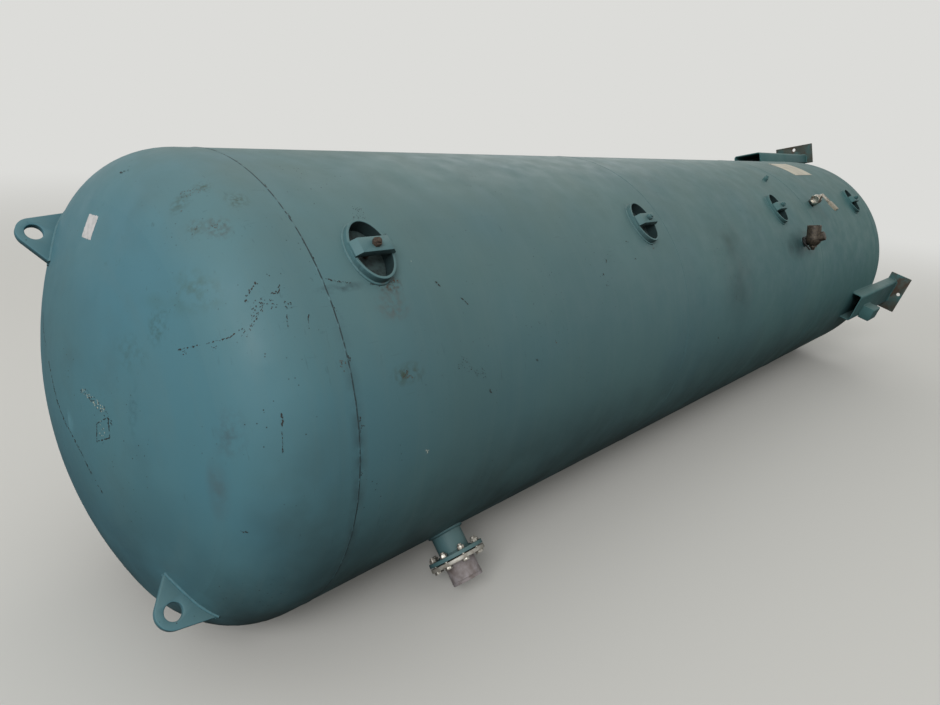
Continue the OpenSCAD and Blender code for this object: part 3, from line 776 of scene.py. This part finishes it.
hole_seat = seat(HAND_HOLES[0], SHELL_R, HAND_HOLE_TURN)
stud = threads(hole_seat, STUD_R, STUD_TIP - THREAD_LONG, STUD_TIP - THREAD_SHORT_OF_TIP)
for number, piece in enumerate(spread(stud, hole_moves)):
    slot = slot_of[f"hand_hole_stud_{number + 1}"]
    own(piece, f"stud_thread_{number + 1}", FINISHES[slot], BEAD_SMOOTH)

flange = seat(OUTLET_X, SHELL_R, OUTLET_TURN) @ Matrix.Rotation(math.pi / BOLTS, 4, "Z")
bolt = threads(flange @ slide(BOLT_CIRCLE_R), STUD_R, BOLT_TIP, BOLT_TIP + THREAD_LONG)
turns = [Matrix.Rotation(2 * math.pi * k / BOLTS, 4, "Z") for k in range(1, BOLTS)]
bolts = spread(bolt, [flange @ turn @ flange.inverted() for turn in turns])
own(join(bolts), "bolt_threads", FINISHES["bolt_steel"], BEAD_SMOOTH)


def lying(surface, first, second):
    """Matrix of a place on a surface: Z out of it and X the way the first coordinate grows."""
    at, away = surface(first, second)
    a_little_on = surface(first + 0.001, second)[0]
    across = away.cross(a_little_on - at).normalized()
    return axes_at(at, across.cross(away), across, away)


def sheet_on(name, node, place, size, thick, material, ragged=0.0):
    """A thin sheet that lies on a solid and follows its curve, its rim torn if it is ragged."""
    bpy.ops.object.select_all(action="DESELECT")
    bpy.ops.mesh.primitive_grid_add(x_subdivisions=24, y_subdivisions=24, size=1.0)
    piece = bpy.context.object
    piece.matrix_world = place @ Matrix.Diagonal((*size, 1, 1))
    settle(piece)
    if ragged:
        with shaping(chosen=()):
            bpy.ops.mesh.select_non_manifold()
            bpy.ops.transform.vertex_random(offset=ragged, seed=5)
    modify(
        piece, "SHRINKWRAP", target=nodes[node], wrap_method="NEAREST_SURFACEPOINT",
        wrap_mode="ABOVE_SURFACE", offset=thick + LIFT,
    )
    modify(piece, "SOLIDIFY", thickness=thick, offset=-1.0)
    own(piece, name, material)


# Bare cream plate high on the shell near the far end, held by a rivet in each corner
plate_place = lying(on_shell, PLATE_X, PLATE_TURN)
sheet_on("data_plate", "shell_course_3", plate_place, PLATE_SIZE, PLATE_THICK, cream)
bpy.ops.object.select_all(action="DESELECT")
bpy.ops.mesh.primitive_uv_sphere_add(
    segments=16, ring_count=8, radius=RIVET_R, scale=(1, 1, 0.5)
)
rivet = bpy.context.object
settle(rivet)
# the upper half of a low ball, with an upright rim that goes down into the plate
with shaping():
    bpy.ops.mesh.bisect(
        plane_co=(0, 0, RIVET_FOOT), plane_no=(0, 0, 1), clear_inner=True, use_fill=True,
        threshold=SAME_POINT,
    )
    bpy.ops.mesh.extrude_region_move(TRANSFORM_OT_translate={"value": (0, 0, -2 * RIVET_FOOT)})
modify(rivet, "BEVEL", width=RIVET_EDGE, segments=2, limit_method="ANGLE", angle_limit=SHARP)
plate_top = SHELL_R + LIFT + PLATE_THICK
rivets = [
    copy_of(rivet, seat(PLATE_X + along, plate_top, PLATE_TURN + turn))
    for along in RIVETS_ALONG for turn in RIVETS_TURN
]
bpy.data.objects.remove(rivet)
own(join(rivets), "plate_rivets", FINISHES["bolt_steel"], BEAD_SMOOTH)

# Bare remains of a paper label on the near end
label_place = lying(on_head, LABEL_OUT, LABEL_TURN)
sheet_on("paper_label", "near_head", label_place, LABEL_SIZE, LABEL_THICK, paper, LABEL_TORN)


# Paint damage, laid on as thin flakes that show what is under the coat


def flake_shapes(count):
    """A few uneven flakes, one unit across, made once and copied."""
    shapes = []
    for _ in range(count):
        bpy.ops.object.select_all(action="DESELECT")
        bpy.ops.mesh.primitive_circle_add(
            vertices=FLAKE_CORNERS, radius=0.5, fill_type="TRIFAN"
        )
        flake = bpy.context.object
        rim = [point.index for point in flake.data.vertices if point.co.length > 0.1]
        for corner in rim:
            with shaping([corner]):
                grown = chance.uniform(*CORNER_SHARE)
                bpy.ops.transform.resize(value=(grown, grown, 1), center_override=(0, 0, 0))
        with shaping():
            bpy.ops.mesh.extrude_region_move(TRANSFORM_OT_translate={"value": (0, 0, 1)})
        shapes.append(flake)
    return shapes


def flakes_along(surface, size, stray, length, places, shapes):
    """Flakes along a line of places: their size, how far they stray and how drawn out they are."""
    laid = []
    ends = [surface(*place) for place in places]
    for (start, away), (end, _) in zip(ends, ends[1:]):
        way = end - start
        ahead, across = way.normalized(), away.cross(way).normalized()
        for _ in range(max(2, round(way.length / (size * length * FLAKES_APART)))):
            at = start + way * chance.random() + across * chance.uniform(-stray, stray)
            grown = size * chance.uniform(*SIZE_SHARE)
            flake_place = axes_at(
                at + away * LIFT, ahead * grown * length, across * grown, away * FLAKE_THICK
            )
            laid.append(copy_of(chance.choice(shapes), flake_place))
    return laid


def marks(name, material, shapes, lines):
    """One piece from lines of flakes, each given as flakes_along takes it."""
    laid = []
    for line in lines:
        laid += flakes_along(*line, shapes)
    own(join(laid), name, material)


shapes = flake_shapes(FLAKE_FORMS)
marks("paint_chips", chipped, shapes, (
    # broken line of chips down the left of the near end
    (on_head, 0.0045, 0.003, 2.0,
     ((0.381, -53), (0.333, -54), (0.284, -54), (0.187, -54), (0.128, -61))),
    (on_head, 0.0050, 0.004, 1.8,
     ((0.128, -61), (0.084, -74), (0.045, -99), (0.043, 159), (0.098, 138))),
    (on_head, 0.0050, 0.004, 1.8, ((0.098, 138), (0.144, 139), (0.229, 138))),
    # long crack from the crown towards the near seam, in two lines
    (on_head, 0.0038, 0.002, 2.2,
     ((0.549, 54.4), (0.592, 55.4), (0.634, 56), (0.666, 56.6), (0.694, 55.6))),
    (on_head, 0.0034, 0.008, 1.6,
     ((0.560, 55.4), (0.640, 57.4), (0.694, 57.2), (0.715, 54), (0.730, 52))),
    # chips between the crack and the seam
    (on_head, 0.0042, 0.004, 1.8, ((0.711, 51.0), (0.714, 49.6), (0.729, 48.0))),
    (on_head, 0.0042, 0.004, 1.8, ((0.736, 50.6), (0.740, 51.0), (0.745, 49.6))),
    (on_head, 0.0045, 0.009, 1.4, ((0.744, 52.6), (0.745, 54.4))),
    (on_head, 0.0040, 0.012, 1.4, ((0.716, 53.0), (0.726, 51.5), (0.738, 53.5))),
    (on_head, 0.0030, 0.001, 3.0, ((0.742, 55.1), (0.740, 57.7))),
    (on_head, 0.0030, 0.001, 3.0, ((0.7498, 56.0), (0.749, 58.6))),
    (on_head, 0.0055, 0.002, 2.4, ((0.717, 73.2), (0.714, 77.0))),
    (on_head, 0.0030, 0.001, 3.0, ((0.714, 77.0), (0.712, 81.0))),
    (on_head, 0.0045, 0.003, 1.6, ((0.641, 99.6), (0.656, 100.0))),
    (on_head, 0.0040, 0.003, 2.5, ((0.621, 139), (0.676, 138))),
    (on_head, 0.0035, 0.004, 2.2, ((0.679, -1.3), (0.690, 1.5))),
    # dark edges of the two patches left of the middle
    (on_head, 0.0040, 0.001, 2.6,
     ((0.189, 73), (0.250, 69), (0.242, 82), (0.174, 90), (0.189, 73))),
    (on_head, 0.0040, 0.012, 1.8,
     ((0.162, 38), (0.184, 48.5), (0.217, 59.8), (0.240, 65), (0.258, 74))),
    # paint broken along the near seam
    (on_shell, 0.0035, 0.001, 2.0,
     ((0.068, 12), (0.068, 24), (0.068, 34), (0.068, 45), (0.068, 56))),
    (on_shell, 0.0048, 0.003, 1.8, ((0.069, 56), (0.069, 66), (0.070, 78), (0.071, 90))),
    (on_shell, 0.0050, 0.007, 1.6, ((0.074, 70), (0.076, 80), (0.076, 90))),
    (on_shell, 0.0038, 0.002, 2.0, ((0.076, 49.8), (0.108, 50.6), (0.146, 51.3))),
    (on_shell, 0.0035, 0.002, 2.0, ((0.205, 52.1), (0.235, 52.9))),
    (on_shell, 0.0045, 0.002, 2.6, ((0.440, 53.8), (0.452, 55.7))),
    (on_shell, 0.0050, 0.001, 3.0, ((0.519, 58.6), (0.541, 60.5))),
    (on_shell, 0.0032, 0.020, 1.4, ((0.445, 72.4), (0.563, 76.8))),
    (on_shell, 0.0060, 0.004, 1.6, ((0.573, 80.6), (0.579, 82.0))),
    (on_shell, 0.0050, 0.002, 2.6, ((1.341, 55.3), (1.336, 56.6))),
    (on_shell, 0.0060, 0.002, 2.6, ((1.290, 58.9), (1.291, 59.8))),
    (on_shell, 0.0060, 0.002, 2.6, ((1.291, 62.0), (1.291, 63.2))),
    (on_shell, 0.0050, 0.003, 2.0, ((1.530, 50.6), (1.550, 50.8))),
    (on_shell, 0.0050, 0.003, 2.0, ((1.542, 56.4), (1.552, 56.6))),
    (on_shell, 0.0050, 0.003, 2.0, ((0.808, 77.0), (0.816, 78.0))),
    (on_shell, 0.0038, 0.120, 1.4, ((2.400, 50), (2.420, 60), (2.460, 70), (2.560, 80))),
    (on_shell, 0.0050, 0.003, 3.0, ((2.250, 90.5), (2.262, 93.0))),
    (on_shell, 0.0030, 0.020, 1.4, ((0.280, 36.7), (0.304, 32.5), (0.345, 40.8))),
))
marks("chalk_marks", chalk, shapes, (
    (on_head, 0.0050, 0.011, 1.4, ((0.165, 40), (0.184, 49), (0.217, 59.8), (0.238, 65))),
    (on_head, 0.0045, 0.022, 1.4, ((0.200, 76), (0.222, 78))),
    (on_shell, 0.0040, 0.002, 2.0, ((0.304, 90.0), (0.308, 90.8), (0.313, 90.1))),
    (on_shell, 0.0040, 0.002, 1.0, ((0.3795, 48.1), (0.3815, 48.3))),
))
marks("rust_marks", stain, shapes, (
    (on_head, 0.0028, 0.005, 1.2, ((0.692, 31.3), (0.697, 31.7))),
    (on_head, 0.0028, 0.007, 1.2, ((0.714, 33.2), (0.722, 33.8))),
    (on_head, 0.0026, 0.012, 1.2, ((0.706, 21.6), (0.719, 22.3), (0.733, 22.3))),
    (on_head, 0.0040, 0.006, 1.2, ((0.694, 25.4), (0.696, 25.8))),
    (on_shell, 0.0050, 0.012, 1.4, ((0.240, 51.7), (0.273, 52.5), (0.300, 53.0))),
    (on_shell, 0.0040, 0.014, 1.4, ((0.228, 71.4), (0.268, 73.7))),
    (on_shell, 0.0040, 0.010, 1.4, ((0.040, 66), (0.055, 68))),
    (on_shell, 0.0045, 0.003, 1.8, ((0.920, 73.8), (0.926, 74.8))),
    (on_shell, 0.0040, 0.010, 1.4, ((1.712, 53.4), (1.730, 54.0))),
))
for shape in shapes:
    bpy.data.objects.remove(shape)


# Floor, backdrop and light

# colours of the backdrop, of the floor that the camera sees, and of the floor that casts light
BACKDROP, FLOOR_SEEN, FLOOR_CAST = "dcdcd9", "cfceca", "4d4944"
FLOOR_ACROSS = 600.0
# between these distances the floor turns into the backdrop, so that no horizon shows
FADE_START, FADE_END = 4.0, 13.0
# the camera and reflections see a pale backdrop, and the light that it casts is lower
SKY_SEEN, SKY_CAST = 1.0, 0.78
LAMP_SIZE = (9.0, 7.0)

floor_finish, tree, shader, place = finish("pale_matt_floor", 0.9)
rays = add(tree, "LightPath", out="Is Camera Ray")
colours = {0: rays, 6: tint(FLOOR_CAST), 7: tint(FLOOR_SEEN)}
shown = add(tree, "Mix", colours, out=2, data_type="RGBA")
tree.links.new(shown, shader.inputs["Base Color"])
away = add(tree, "VectorMath", {0: place}, out="Value", operation="LENGTH")
fade = {"Value": away, "From Min": FADE_START, "From Max": FADE_END}
far = add(tree, "MapRange", fade, interpolation_type="SMOOTHSTEP")
glow = add(tree, "Emission", {"Color": tint(BACKDROP), "Strength": SKY_SEEN})
mixed = add(tree, "MixShader", {0: both(tree, far, rays), 1: shader.outputs[0], 2: glow})
tree.links.new(mixed, tree.nodes["Material Output"].inputs["Surface"])
bpy.ops.object.select_all(action="DESELECT")
bpy.ops.mesh.primitive_plane_add(size=FLOOR_ACROSS, location=(0, 0, 0))
floor = bpy.context.object
floor.name = "floor"
floor.data.materials.append(floor_finish)

world = bpy.data.worlds.new("plain_sky")
bpy.context.scene.world = world
world.use_nodes = True
tree = world.node_tree
seen = add(tree, "LightPath", out="Is Camera Ray")
for ray in ("Is Glossy Ray", "Is Transmission Ray"):
    seen = add(tree, "Math", {0: seen, 1: add(tree, "LightPath", out=ray)}, operation="MAXIMUM")
strength = add(tree, "MapRange", {"Value": seen, "To Min": SKY_CAST, "To Max": SKY_SEEN})
background = tree.nodes["Background"]
background.inputs["Color"].default_value = tint(BACKDROP)
tree.links.new(strength, background.inputs["Strength"])


def lamp(name, at, aim, watts):
    """A large soft lamp that points at a place."""
    data = bpy.data.lights.new(name, "AREA")
    data.shape = "RECTANGLE"
    data.size, data.size_y = LAMP_SIZE
    data.energy = watts
    hung = new_object(name, data)
    hung.location = at
    hung.rotation_euler = (Vector(aim) - Vector(at)).to_track_quat("-Z", "Y").to_euler()


# the front lamp is far off, so that its light falls evenly along the vessel
lamp("roof_lamp", (-1.5, 1.5, 8.0), (0.0, 0.0, 0.8), 60.0)
lamp("front_lamp", (-14.5, -8.0, 10.5), (-1.0, 0.0, 0.8), 1800.0)
lamp("back_lamp", (13.0, 9.5, 9.0), (0.0, 0.0, 0.8), 330.0)

bpy.context.scene.view_settings.view_transform = "Standard"
